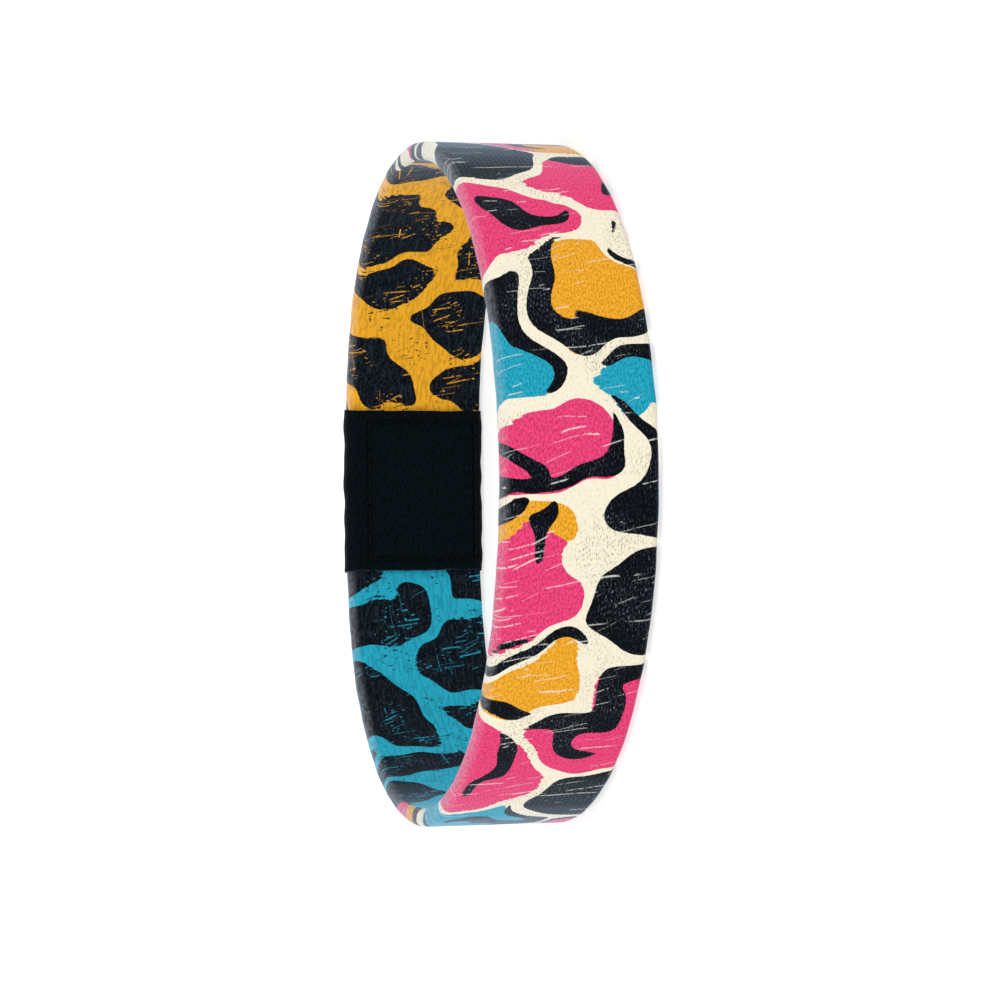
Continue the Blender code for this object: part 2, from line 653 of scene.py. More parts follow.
def both(first: np.ndarray, second: np.ndarray, rounding: float) -> np.ndarray:
    """The distance from what two shapes share, its corners rounded off: the logarithm
    of the sum of exp(distance / rounding), times the rounding."""
    return rounding * np.logaddexp(first / rounding, second / rounding)


@dataclass
class Placed:
    """Where points of the cloth lie in the spots that hold them, one entry a point."""

    edge_mm: np.ndarray
    beside: np.ndarray
    above: np.ndarray
    motif: np.ndarray
    dye: np.ndarray
    turn: np.ndarray
    phase: np.ndarray

    def facing(self, turn: float = 0.0) -> np.ndarray:
        """How far each point is to its spot's thick side, or to that side turned."""
        return self.beside * np.cos(self.turn + turn) + self.above * np.sin(self.turn + turn)


@dataclass(frozen=True)
class SpotPrint:
    """A print of animal spots, worked out as distances in millimetres.

    The strip is shared out among the spots as a power diagram, whose borders are as far
    from one spot as from the next once their pulls are counted. A border is softened by
    a logarithm of summed exponentials, which rounds its corners, and the channels
    between the spots are left as bare ground.

    A channel's width is a least share and one that swells along the loop. A ring or a
    crescent has a middle depth and how much it swells, a gap its depth and its spread,
    and lobes are the heights of two and of three waves round a spot. Turns are in
    radians from a spot's thick side."""

    spots: tuple[Spot, ...]
    loop_mm: float
    half_width_mm: float
    seed: int
    jitter_mm: float
    channel_mm: float
    rounding_mm: float
    wobble_mm: float
    laps: int
    softness_mm: float = 0.22
    waves_mm: tuple[float, ...] = (8.0, 12.0, 18.0, 27.0)
    turn_jitter: float = 0.4
    channel_swells: int = 11
    channel_widths: tuple[float, float] = (0.7, 0.6)
    ring_mm: tuple[float, float] = (1.9, 1.2)
    ring_opening: tuple[float, float] = (3.2, 0.3)
    crescent_mm: tuple[float, float] = (0.6, 2.4)
    duo_crescent_mm: tuple[float, float] = (-0.3, 2.2)
    lobes_mm: tuple[float, float] = (0.3, 0.2)
    bean_turn: float = 0.9
    bean_shift_mm: tuple[float, float] = (0.9, -0.5)
    bean_half_length_mm: float = 1.5
    bean_half_width_mm: float = 1.25
    bean_bend: float = 0.18
    bean_margin_mm: float = 0.4
    eye_margin_mm: float = 0.55
    patch_margin_mm: float = 0.12
    dye_turn: float = 1.9
    eye_short_mm: float = 3.0
    split_overlap_mm: float = 0.2

    def _sites(self) -> np.ndarray:
        """Sets out every spot on the loop. Each lap of the repeat mirrors the last.

        Returns:
            A row a spot: place along, place across, pull, motif, dye, turn and phase.
        """
        rng = np.random.default_rng(self.seed)
        rows = []
        for lap in range(self.laps):
            flip = -1 if lap % 2 else 1
            for spot in self.spots:
                shift = rng.uniform(-self.jitter_mm, self.jitter_mm, 2)
                rows.append((
                    (spot.along + lap) * self.loop_mm / self.laps + shift[0],
                    flip * spot.across * self.half_width_mm + shift[1],
                    spot.pull_mm,
                    spot.motif.value,
                    spot.dye.value,
                    math.radians(flip * spot.turn) + rng.uniform(-self.turn_jitter, self.turn_jitter),
                    rng.uniform(0, FULL_TURN),
                ))
        return np.array(rows)

    def _wobbled(self, along: np.ndarray, across: np.ndarray) -> tuple[np.ndarray, np.ndarray]:
        """Shifts places by slow slanted sine waves, so that no border is straight.

        Args:
            along: Places along the loop, in millimetres.
            across: Places across the strip from its middle, in millimetres.

        Returns:
            The shifted places along and across.
        """
        rng = np.random.default_rng(self.seed)
        shifts = np.zeros((2, *along.shape))
        for wave in self.waves_mm:
            turns = FULL_TURN * round(self.loop_mm / wave) / self.loop_mm
            strength = self.wobble_mm * wave / sum(self.waves_mm)
            for shift in shifts:
                for lean in (1, -1):
                    phase = rng.uniform(0, FULL_TURN)
                    tilt = lean * rng.uniform(0.4, 1.2) * FULL_TURN / wave
                    shift += strength * np.sin(turns * along + tilt * across + phase)
        return along + shifts[0], across + shifts[1]

    def place(self, along: np.ndarray, across: np.ndarray) -> Placed:
        """Finds the spot that holds each point.

        Power is the squared distance from a spot less its squared pull. The border with
        a neighbour lies where both powers match, so it is away by the difference of the
        powers over twice the distance between the spots.

        Args:
            along: Places along the loop, in millimetres.
            across: Places across the strip from its middle, in millimetres.

        Returns:
            Where each point lies in its spot, and how far inside the spot's edge.
        """
        x, y = self._wobbled(along, across)
        sites = self._sites()
        half = self.loop_mm / 2
        beside = (x[:, None] - sites[:, 0] + half) % self.loop_mm - half
        above = y[:, None] - sites[:, 1]
        power = beside**2 + above**2 - sites[:, 2] * np.abs(sites[:, 2])
        points, own = np.arange(len(x)), power.argmin(1)
        spans = np.hypot(beside - beside[points, own][:, None], above - above[points, own][:, None])
        apart = np.maximum(spans, SAME_SPOT_MM)
        steeper = power - power[points, own][:, None]
        away = np.where(spans > SAME_SPOT_MM, steeper / (2 * apart), np.inf)
        border = -self.rounding_mm * np.log(np.exp(-away / self.rounding_mm).sum(1))
        swells = np.sin(FULL_TURN * self.channel_swells * along / self.loop_mm + 0.35 * across)
        least, swell = self.channel_widths
        widths = least + swell * (0.5 + 0.5 * swells)
        motif, dye, turn, phase = sites[own, 3:].T
        return Placed(border - self.channel_mm * widths / 2, beside[points, own], above[points, own],
                      motif, dye, turn, phase)

    def ink(self, along: np.ndarray, across: np.ndarray) -> np.ndarray:
        """The distance from the dark ink, less than 0 within it.

        A spot's ink runs in from its edge to a depth that swells towards its thick side
        as a cosine, with two small lobes. A rosette's ring opens behind with a
        bell-shaped gap. A bean is a bent bar with round ends.

        Args:
            along: Places along the loop, in millimetres.
            across: Places across the strip from its middle, in millimetres.

        Returns:
            The distances, in millimetres.
        """
        placed = self.place(along, across)
        is_motif = {motif: placed.motif == motif.value for motif in Motif}
        angle = np.arctan2(placed.above, placed.beside) - placed.turn
        two, three = self.lobes_mm
        lobes = two * np.cos(2 * angle + placed.phase) + three * np.cos(3 * angle - placed.phase)
        behind = (angle - 0.5 * np.sin(placed.phase)) % FULL_TURN - math.pi
        gap_depth, gap_spread = self.ring_opening
        opening = gap_depth * np.exp(-((behind / gap_spread) ** 2))
        swelling = {
            Motif.ROSETTE: self.ring_mm,
            Motif.CRESCENT: self.crescent_mm,
            Motif.DUO: self.duo_crescent_mm,
        }
        depths = {
            motif: mean + swell * np.cos(angle) + lobes for motif, (mean, swell) in swelling.items()
        }
        depths[Motif.ROSETTE] = depths[Motif.ROSETTE] - opening
        depths[Motif.PATCH] = np.full_like(angle, -FAR_MM)
        depth = np.select([is_motif[m] for m in depths], list(depths.values()), np.inf)
        in_ring = both(-placed.edge_mm, placed.edge_mm - depth, self.softness_mm)
        shift, side_shift = self.bean_shift_mm
        lengthwise = placed.facing(self.bean_turn) + shift
        bend = self.bean_bend * lengthwise**2
        sideways = placed.facing(self.bean_turn + math.pi / 2) + bend + side_shift
        past_end = np.maximum(np.abs(lengthwise) - self.bean_half_length_mm, 0)
        bean = np.hypot(past_end, sideways) - self.bean_half_width_mm - 0.25 * np.sin(placed.phase)
        has_bean = ~(is_motif[Motif.ROSETTE] | is_motif[Motif.BLOT])
        within = self.bean_margin_mm - placed.edge_mm
        in_bean = np.where(has_bean, both(bean, within, self.softness_mm), np.inf)
        return np.minimum(either(in_ring, in_bean, 2 * self.softness_mm), FAR_MM)

    def dye(self, wanted: Dye, placed: Placed) -> np.ndarray:
        """The distance from one dye, less than 0 within it.

        A rosette's eye stops short of one side, as a print that is out of register does,
        and a patch of two dyes is split by a wavy line.

        Args:
            wanted: The dye.
            placed: Where the points lie, shifted as the dye's own screen was.

        Returns:
            The distances.
        """
        is_rosette = placed.motif == Motif.ROSETTE.value
        is_duo = placed.motif == Motif.DUO.value
        side = placed.facing(self.dye_turn)
        patch = np.where(is_rosette, self.eye_margin_mm, self.patch_margin_mm) - placed.edge_mm
        short = -side - self.eye_short_mm - 0.4 * np.sin(1.3 * placed.above)
        patch = np.where(is_rosette, both(patch, short, self.softness_mm), patch)
        split = side + 0.5 * np.sin(1.1 * placed.beside + 0.8 * placed.above)
        first = placed.dye == wanted.value
        second = (placed.dye + 1) % len(Dye) == wanted.value
        nearer = both(patch, -split - self.split_overlap_mm, self.softness_mm)
        farther = both(patch, split - self.split_overlap_mm, self.softness_mm)
        halves = np.select([first, second], [nearer, farther], FAR_MM)
        plain = first & (placed.motif < Motif.DUO.value)
        return np.select([plain, is_duo], [patch, halves], FAR_MM)


def outer_print(loop_mm: float, half_width_mm: float) -> SpotPrint:
    """The outer print on a strip of this size."""
    return SpotPrint(OUTER_SPOTS, loop_mm, half_width_mm, seed=14, jitter_mm=0.9, channel_mm=1.3,
                     rounding_mm=0.8, wobble_mm=3.2, laps=2)


def inner_print(loop_mm: float, half_width_mm: float) -> SpotPrint:
    """The inner print on a strip of this size."""
    return SpotPrint(inner_spots(), loop_mm, half_width_mm, seed=8, jitter_mm=1.6, channel_mm=2.2,
                     rounding_mm=1.0, wobble_mm=2.4, laps=3, waves_mm=(6.0, 9.0, 13.0, 21.0))


# Finishes


@dataclass(frozen=True)
class Wear:
    """Noise that the scuffs of one finish share: what bends them, what gathers them and
    what breaks their edges."""

    bend: Signal
    clump: Signal
    frayed: Signal


@dataclass(frozen=True)
class Scuffs:
    """Thin straight scuffs in lanes: each lane is cut into lengths at random, and a
    length holds a scuff by chance. Lengths are in millimetres, lean in degrees."""

    lean: float
    lane_mm: float
    length_mm: float
    width_mm: float
    chance: float
    salt: float

    def mask(self, graph: Graph, along: Signal, around: Signal, wear: Wear) -> Signal:
        """1 on the scuffs and 0 off them. A scuff is a line that leans across its lane
        and fades out towards both of its ends.

        Args:
            graph: The finish's nodes.
            along: The place along the strip, in millimetres.
            around: The place round the strip, in millimetres.
            wear: The noise that bends, gathers and breaks them.

        Returns:
            The mask.
        """
        turn = math.radians(self.lean)
        run = (around * math.cos(turn) + along * math.sin(turn)) / self.length_mm
        drift = (along * math.cos(turn) - around * math.sin(turn) + wear.bend * 0.3) / self.lane_mm
        lane = drift.floor()
        start, height, slope = graph.chances(lane, 0.5, self.salt)
        place = run + start * 17.0
        piece = place.floor()
        here, reach, strength = graph.chances(lane, piece, self.salt + 3.0)
        from_middle = place - piece - 0.5
        line = 0.3 + 0.4 * height + from_middle * (slope - 0.5) * 0.4
        gap = abs(drift - lane - line) * self.lane_mm
        taper = (abs(from_middle) / (0.1 + 0.38 * reach)).fall(0.7, 1.0)
        shown = (here - self.chance * wear.clump).fall(-0.01, 0.01)
        width = self.width_mm * (0.4 + 1.1 * strength)
        return (gap / width).fall(0.25, 0.55) * taper * shown * wear.frayed * (0.45 + 0.55 * strength)


@dataclass(frozen=True)
class PrintedKnit:
    """The webbing's finish: a fine knit, with one print outside and another inside,
    scuffed to show the ground.

    Slant is how far a gap between the yarns leans in its wale, in courses. The scuff
    share is how much a scuff hides of what lies under it, the sunk share how dark a dye
    is made in the knit's hollows, as painted shade, and the crown share how pale it is
    on the crowns, partly as wear and partly as painted highlight. The upper rim's pale
    fuzz and painted highlight have a least share and one that comes and goes with the nap."""

    cream: Colour = screen_colour(243, 235, 212)
    cream_shade: Colour = screen_colour(150, 146, 120)
    scuff: Colour = screen_colour(242, 239, 230)
    pink: Colour = screen_colour(243, 64, 124)
    mustard: Colour = screen_colour(249, 175, 34)
    blue: Colour = screen_colour(20, 169, 198)
    black: Colour = screen_colour(4, 8, 13)
    faded: Colour = screen_colour(114, 124, 140)
    inner_mustard: Colour = screen_colour(254, 184, 46)
    inner_teal: Colour = screen_colour(43, 179, 208)
    inner_dark: Colour = screen_colour(3, 9, 16)
    inner_faded: Colour = screen_colour(66, 76, 92)
    # Pale colour for the upper rim: partly fuzz, partly a painted highlight of light from above
    fuzz_and_highlight: Colour = screen_colour(238, 244, 252)
    wale_mm: float = 0.5
    gap_wale_mm: float = 0.27
    gap_course_mm: float = 0.44
    slant: float = 0.75
    relief: float = 0.00003
    scuff_share: float = 0.62
    # How dark a dye is in the knit's hollows, as painted shade, and how pale on the crowns, partly wear and
    # partly painted highlight
    sunk_share: float = 0.39
    crown_wear_and_highlight_share: float = 0.02
    inner_sunk_share: float = 0.5
    sheen: float = 0.75
    sheen_tint: Colour = (0.6, 0.78, 1.0)
    # Shares of the upper rim's fuzz and painted highlight: a least one, and one that comes and goes with the
    # nap
    upper_rim_fuzz_and_highlight: tuple[float, float] = (0.08, 0.1)
    # How far the lower rim is darkened, as painted shade
    lower_rim_shade: float = 0.22
    outer_scuffs: tuple[Scuffs, ...] = (
        Scuffs(-5.0, 1.6, 10.0, 0.15, 0.15, 31.0),
        Scuffs(-13.0, 0.7, 5.5, 0.13, 0.13, 47.0),
        Scuffs(-24.0, 1.5, 3.5, 0.12, 0.09, 61.0),
    )
    inner_strays: Scuffs = Scuffs(-18.0, 1.2, 3.5, 0.12, 0.09, 71.0)
    inner_scuffs: tuple[Scuffs, ...] = (
        Scuffs(-10.0, 0.6, 4.5, 0.13, 0.13, 83.0),
        Scuffs(-26.0, 0.5, 2.6, 0.12, 0.12, 97.0),
        Scuffs(82.0, 1.3, 5.0, 0.13, 0.10, 113.0),
    )

    def material(self) -> bpy.types.Material:
        """Builds the finish. The upper rim is paler, partly with fuzz and partly with a painted highlight,
        and the lower one darker with painted shade.

        Returns:
            The material, which reads the mesh's own UV map and attributes.
        """
        graph = Graph("printed_knit")
        along, around = graph.millimetres()
        clump = graph.noise(along * 0.21, around * 0.21, 1.0)
        bend = graph.noise(along * 0.35, around * 0.35, 2.0)
        weave = graph.noise(along * 3.1 + around * 1.3, around * 6.4, 3.0, 2.0)
        crumb = graph.noise(along * 3.2, around * 3.2, 4.0, 2.0)
        wear = Wear(bend, 2.6 * clump.rise(0.36, 0.68) + 0.25, crumb.rise(0.33, 0.43))
        gap, luck = self._gaps(graph, along, around, bend)
        outside = self._outer(graph, along, around, gap * luck.rise(0.45, 1.0), weave, wear)
        streak = graph.noise(along * 0.8 + bend * 2.0, around * 3.2, 5.0, 1.0)
        inside = self._inner(graph, along, around, gap * luck, streak, weave, wear)
        on_inside = (graph.attribute("inner_side") + (bend - 0.5) * 0.5).rise(-0.04, 0.04)
        colour = graph.mix(on_inside, outside, inside)
        nap = graph.noise(along * 1.7, around * 2.6, 6.0, 2.0)
        rim = graph.attribute("rim")
        # Painted highlight: the upper rim is mixed towards a pale colour, partly fuzz and partly light from
        # above
        least, more = self.upper_rim_fuzz_and_highlight
        fuzz_and_highlight_share = rim.rise(0.0, 1.0) * (least + more * nap.rise(0.32, 0.7))
        colour = graph.mix(fuzz_and_highlight_share, colour, self.fuzz_and_highlight)
        # Painted shade: the lower rim is mixed towards black
        colour = graph.mix((-rim).rise(0.0, 1.0) * self.lower_rim_shade, colour, self.black)
        height = weave * 0.9 + (0.5 - gap * luck * 0.5) * (1.0 - on_inside) + streak * 0.5 * on_inside
        constants = {"Specular IOR Level": 0.04, "Sheen Weight": self.sheen, "Sheen Roughness": 0.3,
                     "Sheen Tint": (*self.sheen_tint, 1.0)}
        return graph.surface(colour, 0.75 + 0.2 * weave, height, self.relief, constants)

    def _gaps(self, graph: Graph, along: Signal, around: Signal, bend: Signal) -> tuple[Signal, Signal]:
        """The gaps between the knit's yarns: one short slanted slot a course in each
        narrow wale, an ellipse about its cell's middle.

        Args:
            graph: The finish's nodes.
            along: The place along the strip, in millimetres.
            around: The place round the strip, in millimetres.
            bend: Noise that bends the wales.

        Returns:
            How far inside a gap each place is, from 0 to 1, and a number from 0 to 1
            that differs from gap to gap.
        """
        wales = around / self.gap_wale_mm + bend * 1.5
        wale = wales.floor()
        beside = wales - wale - 0.5
        courses = along / self.gap_course_mm + wale * 0.47 + beside * self.slant
        course = courses.floor()
        luck, shift, _ = graph.chances(wale, course, 1.0)
        beside = (beside + (shift - 0.5) * 0.3) / 0.33
        lengthwise = (courses - course - 0.5) / 0.46
        return (beside * beside + lengthwise * lengthwise).root().fall(0.2, 1.0), luck

    def _outer(self, graph: Graph, along: Signal, around: Signal, deep: Signal, weave: Signal,
               wear: Wear) -> Signal:
        """The outer print's colour: dyes with dry-brushed edges, crisp ink over them,
        scuffs, and the knit's own light and shade.

        Args:
            graph: The finish's nodes.
            along: The place along the strip, in millimetres.
            around: The place round the strip, in millimetres.
            deep: How far inside a gap of the knit it is, from 0 to 1.
            weave: Fine noise in the way of the yarns.
            wear: The noise that the scuffs share.

        Returns:
            The colour.
        """
        brush = graph.noise(along * 2.4, around * 0.7, 21.0, 2.0)
        dry = (brush - 0.5) * (0.1 + 0.35 * wear.clump)
        # Painted shade: the cream is darker in the knit's hollows and gaps, more so in clumps
        shade = weave.fall(0.26, 0.5) * 0.45 + deep * 0.5
        colour = graph.mix(shade * (0.3 + 0.42 * wear.clump), self.cream, self.cream_shade)
        tone = weave.rise(0.27, 0.68)
        for dye, name in ((self.pink, "pink"), (self.mustard, "mustard"), (self.blue, "blue")):
            # Painted shade: each dye is darker in the knit's hollows and gaps, and a little paler on the
            # crowns, partly wear and partly painted highlight
            sunk = between(dye, self.black, self.sunk_share)
            shaded = graph.mix(tone, sunk, between(dye, self.scuff, self.crown_wear_and_highlight_share))
            shaded = graph.mix(deep * 0.4, shaded, sunk)
            covered = (graph.attribute(name) + dry).fall(-0.05, 0.03)
            colour = graph.mix(covered, colour, shaded)
        flecks = deep * (weave.rise(0.5, 0.7) * 0.5 * wear.clump + 0.05)
        speck = flecks + weave.rise(0.48, 0.9) * (0.11 + 0.15 * wear.clump)
        inked = (graph.attribute("ink") + (brush - 0.5) * 0.12).fall(-0.03, 0.03)
        colour = graph.mix(inked, colour, graph.mix(speck, self.black, self.faded))
        for scuffs in self.outer_scuffs:
            scuffed = scuffs.mask(graph, along, around, wear) * self.scuff_share
            colour = graph.mix(scuffed, colour, self.scuff)
        return colour

    def _inner(self, graph: Graph, along: Signal, around: Signal, deep: Signal, streak: Signal,
               weave: Signal, wear: Wear) -> Signal:
        """The inner print's colour: dark spots with crumbled, scuffed edges on mustard
        at one side of the seam and teal at the other.

        Args:
            graph: The finish's nodes.
            along: The place along the strip, in millimetres.
            around: The place round the strip, in millimetres.
            deep: How far inside a gap of the knit it is, from 0 to 1.
            streak: Noise drawn out along the strip.
            weave: Fine noise in the way of the yarns.
            wear: The noise that the scuffs share.

        Returns:
            The colour.
        """
        teal = (graph.attribute("teal_side") + (streak - 0.5) * 3.0).rise(-0.1, 0.1)
        ground = graph.mix(teal, self.inner_mustard, self.inner_teal)
        # The inner ground is darker in streaks along the strip and in flecks of the weave, and a little in
        # the knit's gaps as painted shade
        shade = graph.mix(teal, between(self.inner_mustard, self.black, self.inner_sunk_share),
                          between(self.inner_teal, self.black, self.inner_sunk_share))
        shaded = streak.rise(0.4, 0.68) * 0.5 + weave.rise(0.45, 0.7) * 0.12 + deep * 0.12
        ground = graph.mix(shaded, ground, shade)
        dark = graph.mix(streak.rise(0.4, 0.8) * 0.22 + weave.rise(0.45, 0.75) * 0.28, self.inner_dark,
                         self.inner_faded)
        worn_here = graph.noise(along * 0.24, around * 0.24, 73.0).rise(0.45, 0.62)
        crumb = graph.noise(along * 3.4, around * 1.5, 75.0, 2.0)
        reach = graph.attribute("inner_ink") + (crumb - 0.5) * (0.16 + 0.7 * worn_here)
        inner_wear = Wear(wear.bend, 0.3 + 3.0 * worn_here, wear.frayed)
        stray = self.inner_strays.mask(graph, along, around, inner_wear)
        flecks = crumb.fall(0.31, 0.35) * worn_here
        inked = reach.fall(-0.05, 0.05).most(flecks).most(stray)
        scuffed = crumb.rise(0.68, 0.73) * worn_here
        for scuffs in self.inner_scuffs:
            scuffed = scuffed.most(scuffs.mask(graph, along, around, inner_wear))
        return graph.mix(inked * (1.0 - scuffed * 0.9), ground, dark)


@dataclass(frozen=True)
class SleeveTwill:
    """The sleeve's finish: near-black cloth with fine steep ribs and a little lint, darker in the valleys
    and paler on the ribs as painted shade and highlight.
    """

    # Painted shade for the valleys between the ribs, and painted highlight for the ribs
    valley: Colour = screen_colour(0, 2, 4)
    rib: Colour = screen_colour(13, 30, 38)
    lint: Colour = screen_colour(104, 114, 118)
    rib_mm: float = 0.27
    lean: float = 0.22
    relief: float = 0.00004

    def material(self) -> bpy.types.Material:
        """Builds the finish.

        Returns:
            The material, which reads the mesh's own UV map and attributes.
        """
        graph = Graph("sleeve_twill")
        along, around = graph.millimetres()
        bend = graph.noise(along * 0.3, around * 0.5, 3.0, 1.0) - 0.5
        ribs = (around + along * self.lean + bend * 0.6) / self.rib_mm
        rib = 0.5 + 0.5 * (ribs * FULL_TURN).sine()
        knots = graph.noise(along * 1.3, around * 4.5, 7.0, 2.0)
        height = rib * (0.35 + 0.65 * knots.rise(0.3, 0.65))
        fibre = graph.noise(along * 6.0, around * 6.0, 9.0, 1.0)
        # Painted shade and highlight: the colour follows the ribs' height
        colour = graph.mix(height * (0.45 + 0.7 * fibre), self.valley, self.rib)
        flecks = graph.noise(along * 2.6, around * 5.2, 11.0, 2.0).rise(0.8, 0.84)
        colour = graph.mix(flecks * 0.35, colour, self.lint)
        frayed = graph.noise(along * 9.0, around * 1.1, 13.0, 1.0).rise(0.46, 0.6)
        colour = graph.mix(graph.attribute("cut_edge") * frayed * 0.8, colour, self.lint)
        constants = {"Specular IOR Level": 0.04, "Sheen Weight": 0.01, "Sheen Roughness": 0.3}
        return graph.surface(colour, 0.6 + 0.25 * fibre, height + fibre * 0.25, self.relief, constants)


@dataclass(frozen=True)
class SewingThread:
    """The black thread's finish, with the slant of its twist."""

    # Painted shade between the plies, and painted highlight on them
    dark: Colour = screen_colour(0, 2, 4)
    light: Colour = screen_colour(12, 24, 30)
    relief: float = 0.00002

    def material(self) -> bpy.types.Material:
        """Builds the finish.

        Returns:
            The material, which reads the mesh's own UV map.
        """
        graph = Graph("sewing_thread")
        along, around = graph.millimetres()
        strands = (along * 22.0 + around * 12.0).sine() * 0.5 + 0.5
        fibre = graph.noise(along * 14.0, around * 14.0, 5.0, 1.0)
        # Painted highlight and shade: paler on the twisted plies' crowns, darker between them
        colour = graph.mix(strands * fibre, self.dark, self.light)
        constants = {"Specular IOR Level": 0.06, "Sheen Weight": 0.01, "Sheen Roughness": 0.3}
        return graph.surface(colour, 0.45 + 0.2 * fibre, strands * 0.6 + fibre * 0.4, self.relief, constants)


@dataclass(frozen=True)
class StudioFloor:
    """The floor's finish: a matt white table, lit softly from below, with the faintest
    mottle."""

    white: Colour = (0.5, 0.5, 0.5)
    shade: Colour = (0.49, 0.49, 0.49)
    glow: float = 0.68
    relief: float = 0.00001

    def material(self) -> bpy.types.Material:
        """Builds the finish.

        Returns:
            The material, which reads Object coordinates.
        """
        graph = Graph("studio_floor")
        place = Signal(graph, graph.node("ShaderNodeTexCoord").outputs["Object"])
        x, y, _ = graph.parts(place)
        mottle = graph.noise(x * 40.0, y * 40.0, 1.0)
        colour = graph.mix(mottle, self.white, self.shade)
        constants = {"Specular IOR Level": 0.05, "Emission Color": (1, 1, 1, 1),
                     "Emission Strength": self.glow}
        made = graph.surface(colour, 0.9, mottle, self.relief, constants)
        made.cycles.emission_sampling = "NONE"
        return made


# The pieces


@dataclass
class Webbing:
    """The printed elastic: one strip bent into a loop, its ends inside the sleeve.

    On the rims one print turns over to the other, where the loop has turned
    print_turn_over degrees from the seam. The waves shape the upper rim, the lower rim
    and the faces."""

    path: LoopPath
    width: float
    middle: float
    end_gap: float = 0.0006
    rows: int = 396
    wale_depth: float = 0.00002
    rim_waver: float = 0.00005
    upper_waves: SlowWaves = SlowWaves((4.3, 7.1, 15.0), 3)
    lower_waves: SlowWaves = SlowWaves((4.9, 8.0, 17.0), 4)
    swell_waves: SlowWaves = SlowWaves((3.1, 5.3, 11.0), 5)
    dye_shift_mm: tuple[float, float] = (0.35, -0.3)
    print_turn_over: float = 79.0
    print_turn_over_spread: float = 2.5
    print_past_rim_mm: float = 1.1
    rim_light_reach_mm: float = 1.55
    rim_light_fade_mm: float = 1.05
    finish: PrintedKnit = field(default_factory=PrintedKnit)

    def section(self) -> Section:
        """The strip's section, with about four places to each wale of its knit."""
        return Section(BAND_THICKNESS, self.width, BAND_RIM_ROUNDING,
                       face_steps=110, inner_steps=108, corner_steps=6, rim_steps=1)

    def build(self) -> bpy.types.Object:
        """Makes the strip.

        Its surface is the carried section, raised along the wales by a cosine whose wave
        is one wale, and with rims that waver slowly along the loop.

        Returns:
            The dressed piece.
        """
        section = self.section()
        lengths = np.linspace(self.end_gap / 2, self.path.length - self.end_gap / 2, self.rows)
        along_mm = lengths / MM
        loop_mm = self.path.length / MM
        across_mm = self._across_mm(section)
        on_face = np.clip(np.abs(section.facing_out) * 2 - 1, 0, 1)
        wales = 0.5 * np.cos(FULL_TURN * across_mm / self.finish.wale_mm) * on_face * self.wale_depth
        upper, lower, swell = (
            waves.height(along_mm, loop_mm)[:, None]
            for waves in (self.upper_waves, self.lower_waves, self.swell_waves)
        )
        waver = np.where(section.up > 0, upper, lower) * np.abs(section.facing_up) * self.rim_waver
        raised = wales + waver + swell * 0.5 * self.rim_waver * on_face
        out = section.out + raised * section.facing_out
        up = section.up + raised * section.facing_up
        points = self.path.carry(lengths[:, None], out, self.middle + up)
        uv = weave_places(lengths, section.places)
        grid = Grid(self.rows, section.count, rows_close=False, columns_close=True)
        values = self._print_values(along_mm, section)
        made = mesh_piece("elastic_webbing", points, grid, uv, capped=True, values=values)
        made.data.materials.append(self.finish.material())
        return made

    def _across_mm(self, section: Section) -> np.ndarray:
        """How far each place of the section is from the middle of the outer face, over
        the nearer rim, in millimetres, upwards being positive."""
        past_half = section.run > section.perimeter / 2
        return np.where(past_half, section.run - section.perimeter, section.run) / MM

    def _print_values(self, along_mm: np.ndarray, section: Section) -> dict[str, np.ndarray]:
        """The prints as distances at each vertex, and how near the rims it is.

        The outer print goes over the rims of the near side and the inner print over
        those of the seam's side, and they change over where the loop turns, by a
        hyperbolic tangent. The rims' own number is 1 on the upper rim and -1 on the
        lower one, and falls off evenly onto the faces. It places the painted highlight
        on the upper rim and the painted shade on the lower one.

        Args:
            along_mm: Where the rows lie along the loop.
            section: The strip's section.

        Returns:
            Each attribute's numbers, as rows by columns.
        """
        loop_mm = self.path.length / MM
        half_width_mm = self.width / MM / 2
        across_mm = self._across_mm(section)
        half_round = section.perimeter / MM / 2
        inner_mm = np.sign(across_mm) * (half_round - np.abs(across_mm))
        shape = (len(along_mm), section.count)
        along, across, inner = (
            np.broadcast_to(part, shape).ravel() for part in (along_mm[:, None], across_mm, inner_mm)
        )
        outer = outer_print(loop_mm, half_width_mm)
        along_shift, across_shift = self.dye_shift_mm
        out_of_register = outer.place(along + along_shift, across + across_shift)
        turned = np.degrees(self.path.turned(along * MM))
        past_turn = (self.print_turn_over - turned) / self.print_turn_over_spread
        from_rim = np.abs(np.abs(across) - half_round / 2)
        # How far the upper rim's painted highlight and the lower rim's painted shade reach onto the faces
        rim_light = np.clip((self.rim_light_reach_mm - from_rim) / self.rim_light_fade_mm, 0, 1)
        from_seam = np.minimum(along, loop_mm - along)
        sided = np.where(along < loop_mm / 2, loop_mm / 2 - from_seam, from_seam - loop_mm / 2)
        return {
            "ink": outer.ink(along, across),
            "pink": outer.dye(Dye.PINK, out_of_register),
            "mustard": outer.dye(Dye.MUSTARD, out_of_register),
            "blue": outer.dye(Dye.BLUE, out_of_register),
            "inner_ink": inner_print(loop_mm, half_width_mm).ink(along, inner),
            "inner_side": np.abs(across) - half_round / 2 + self.print_past_rim_mm * np.tanh(past_turn),
            "teal_side": sided,
            "rim": np.sign(across) * rim_light,
        }


